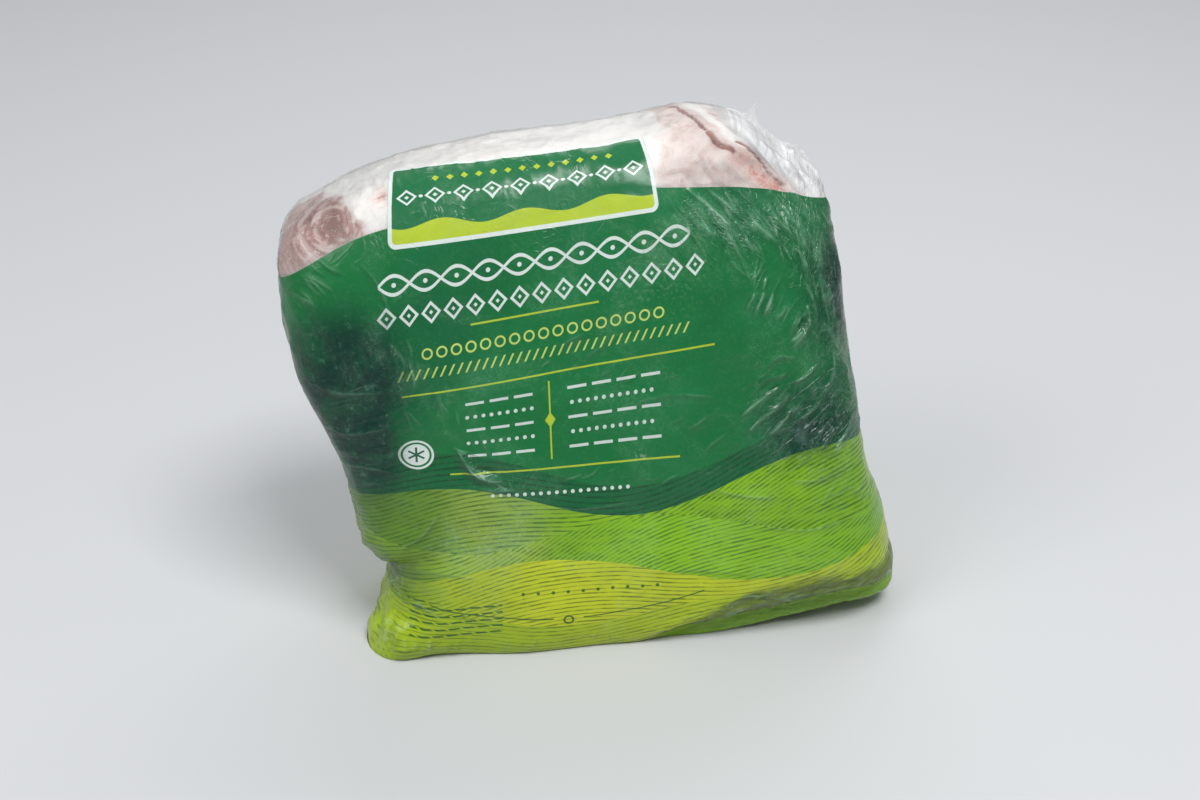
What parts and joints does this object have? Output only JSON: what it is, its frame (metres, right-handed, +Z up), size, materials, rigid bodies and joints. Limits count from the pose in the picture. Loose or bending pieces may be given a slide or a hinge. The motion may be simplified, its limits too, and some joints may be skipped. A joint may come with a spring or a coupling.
{
  "type": "frozen bone-in lamb shoulder in a printed shrink bag",
  "caption": "Thick wedge-shaped block of frozen bone-in lamb shoulder in a tight printed shrink bag with a clear top band, standing on its lower edge with its face leaning back.",
  "frame": {"origin": "On the surface the pack stands on, under the middle of its bounding box.", "axes": "+Z is up; -Y is the way the printed face looks; +X is to the right of someone facing the printed face, along the pack's width."},
  "size_m": [0.2046, 0.0926, 0.1672],
  "materials": {
    "printed_film": "thin shrink film printed deep green, olive, bright green and lime, semi-gloss with fine creases",
    "clear_film": "clear to milky unprinted shrink film, glossy and finely crinkled",
    "raw_lamb": "frozen white fat with pale pink and brownish red lean, lightly frosted"
  },
  "bodies": {
    "root": {"lamb_shoulder_pack": "printed_film"}
  },
  "joints": []
}
